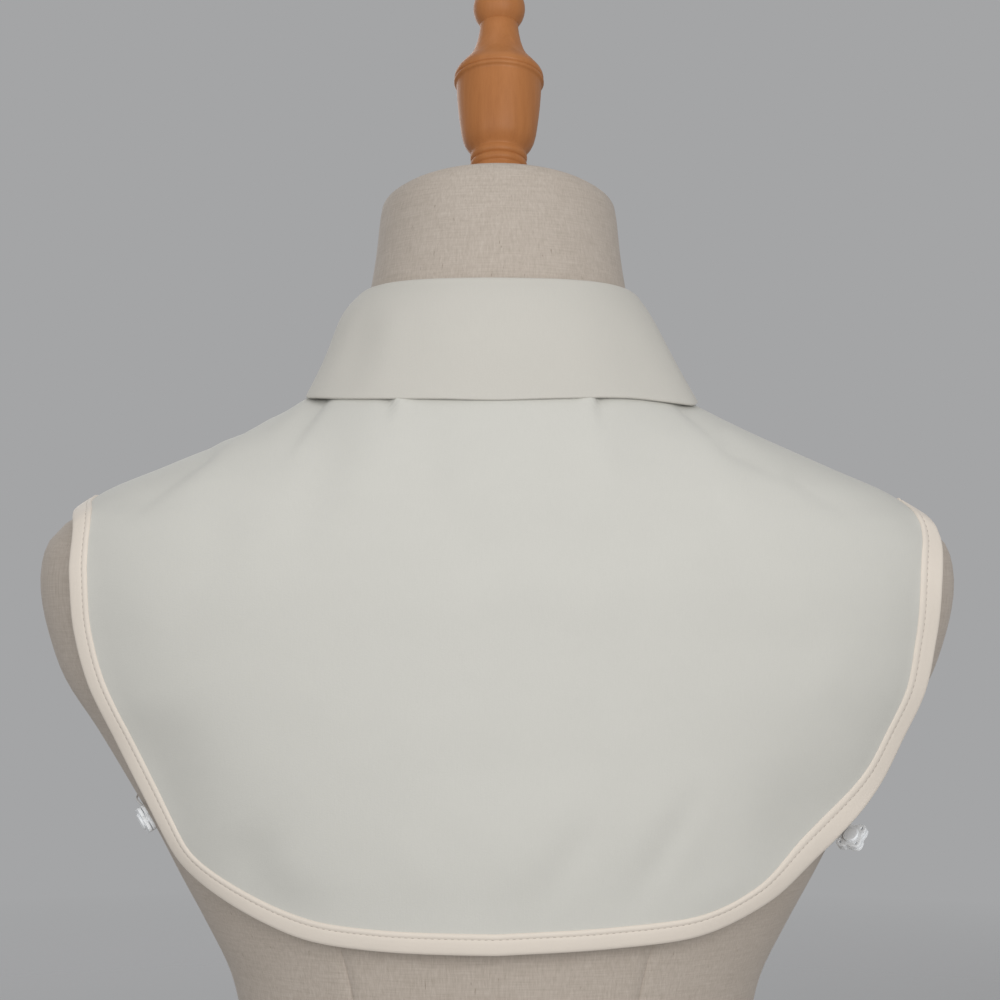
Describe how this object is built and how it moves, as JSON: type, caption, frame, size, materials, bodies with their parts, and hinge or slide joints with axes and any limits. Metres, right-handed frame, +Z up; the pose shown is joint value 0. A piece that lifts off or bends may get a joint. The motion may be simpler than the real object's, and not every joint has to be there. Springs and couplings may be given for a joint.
{
  "type": "detachable shirt collar on a dress form",
  "caption": "False shirt collar with a cream back bib, buttoned front bibs, bias-bound edge and side press studs, worn on a limbless linen dress form with a turned finial.",
  "frame": {"origin": "centre of the dress form's flat base", "axes": "+Z up along the form; +Y towards the wearer's back, where the bib and the collar's fall show; +X towards the wearer's left"},
  "size_m": [0.3806, 0.2168, 0.7069],
  "materials": {
    "linen": "natural slubbed linen, matte",
    "turned_wood": "turned hardwood, orange-brown satin varnish",
    "cream_cloth": "fine plain-weave crepe, matte",
    "binding": "warm cream bias binding, soft sheen",
    "white_plastic": "white moulded plastic, semi-gloss"
  },
  "bodies": {
    "root": {"form_torso": "linen", "finial": "turned_wood", "back_bib": "cream_cloth", "back_binding": "binding", "front_bib_left": "cream_cloth", "front_bib_right": "cream_cloth", "front_binding_left": "binding", "front_binding_right": "binding", "front_placket": "cream_cloth", "collar_stand": "cream_cloth", "collar_fall": "cream_cloth", "button_1": "white_plastic", "button_2": "white_plastic", "button_3": "white_plastic", "button_4": "white_plastic", "button_collar": "white_plastic", "stud_left_socket": "white_plastic", "stud_left_ball": "white_plastic", "stud_right_socket": "white_plastic", "stud_right_ball": "white_plastic", "side_loop_left": "binding", "side_loop_right": "binding"}
  },
  "joints": []
}
